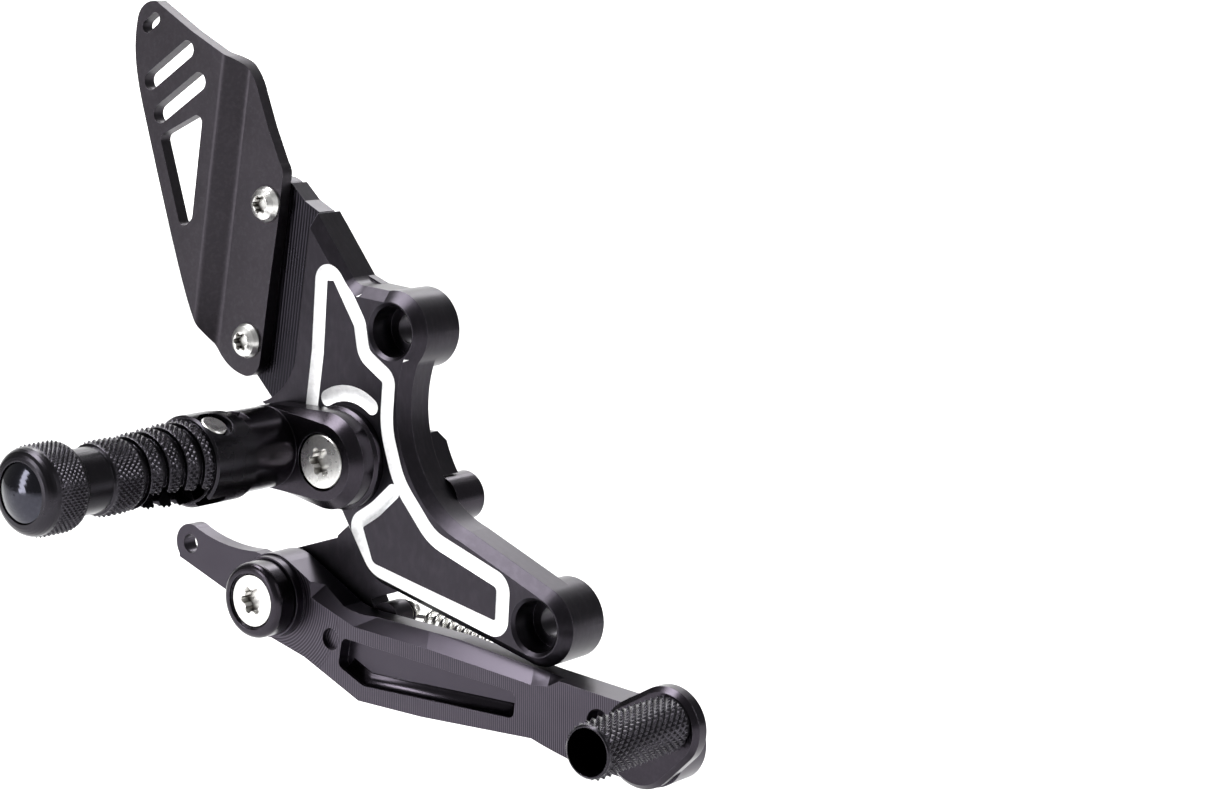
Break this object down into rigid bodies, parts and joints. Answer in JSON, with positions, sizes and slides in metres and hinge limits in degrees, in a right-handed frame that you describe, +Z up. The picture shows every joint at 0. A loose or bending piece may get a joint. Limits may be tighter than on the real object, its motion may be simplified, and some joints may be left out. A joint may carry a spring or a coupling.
{
  "type": "motorcycle foot peg assembly",
  "caption": "Rearset foot peg assembly: bracket plate with heel guard, folding knurled foot peg and a sprung brake lever with a knurled toe peg.",
  "frame": {"origin": "axis of the upper mounting hole, at the back face of its boss, where the bracket meets the frame of the machine", "axes": "+Z up, +X towards the front of the machine along the brake lever, -Y outboard along the foot peg"},
  "size_m": [0.2103, 0.1307, 0.2107],
  "materials": {
    "anodised_plate": "black anodised, fine milled, satin",
    "anodised_turned": "black anodised, turned, semi-gloss",
    "anodised_grip": "black anodised, knurled",
    "anodised_gloss": "black anodised, polished",
    "coated_guard": "fine textured black coating, satin",
    "stainless_bolt": "turned stainless steel, bright",
    "spring_steel": "bright plated wire",
    "bearing_steel": "ground bearing steel"
  },
  "bodies": {
    "plate": {"bracket_plate": "anodised_plate", "heel_guard": "coated_guard", "guard_bolts": "stainless_bolt", "carrier_bolt": "stainless_bolt", "rear_post": "anodised_turned", "lever_pivot_bolt": "stainless_bolt", "lever_pivot_cap": "anodised_turned", "pivot_washer": "stainless_bolt", "cap_spacer": "anodised_turned", "bearing_sleeve": "stainless_bolt", "spring_post": "stainless_bolt"},
    "carrier": {"peg_carrier": "anodised_turned"},
    "peg": {"foot_peg": "anodised_grip", "peg_end_ring": "anodised_grip", "peg_end_plug": "anodised_gloss", "peg_end_screw": "stainless_bolt", "peg_pivot_pin": "stainless_bolt", "pivot_pin_clip": "spring_steel", "peg_return_spring": "spring_steel"},
    "lever": {"brake_lever": "anodised_plate", "lever_bearings": "bearing_steel", "lever_spring_post": "stainless_bolt", "toe_lock_screw": "stainless_bolt"},
    "toe": {"toe_peg_disc": "anodised_turned", "toe_peg_tube": "anodised_grip", "toe_tube_screw": "stainless_bolt", "toe_disc_screw": "stainless_bolt"},
    "spring": {"lever_return_spring": "spring_steel"}
  },
  "joints": [
    {"name": "carrier_adjust", "type": "hinge", "parent": "plate", "child": "carrier", "pos_m": [-0.0184, -0.017, -0.0383], "axis": [0, 1, 0], "range_deg": [-12, 12]},
    {"name": "peg_fold", "type": "hinge", "parent": "carrier", "child": "peg", "pos_m": [-0.0398, -0.0545, -0.0359], "axis": [-0.5, 0, -0.866], "range_deg": [0, 60], "stiffness_Nm_per_rad": 0.06, "springref_deg": -51.57},
    {"name": "brake_lever_press", "type": "hinge", "parent": "plate", "child": "lever", "pos_m": [-0.0461, -0.014, -0.0832], "axis": [0, 1, 0], "range_deg": [0, 8], "stiffness_Nm_per_rad": 0.8, "springref_deg": -28.65},
    {"name": "return_spring_swing", "type": "hinge", "parent": "plate", "child": "spring", "pos_m": [-0.012, 0.0026, -0.0876], "axis": [0, 1, 0], "range_deg": [0, 14.12]},
    {"name": "toe_peg_adjust", "type": "hinge", "parent": "lever", "child": "toe", "pos_m": [0.0936, -0.019, -0.1044], "axis": [0, 1, 0], "range_deg": [-30, 30]}
  ],
  "couplings": [
    {"joint": "return_spring_swing", "follows": "brake_lever_press", "ratio": 1.764}
  ]
}
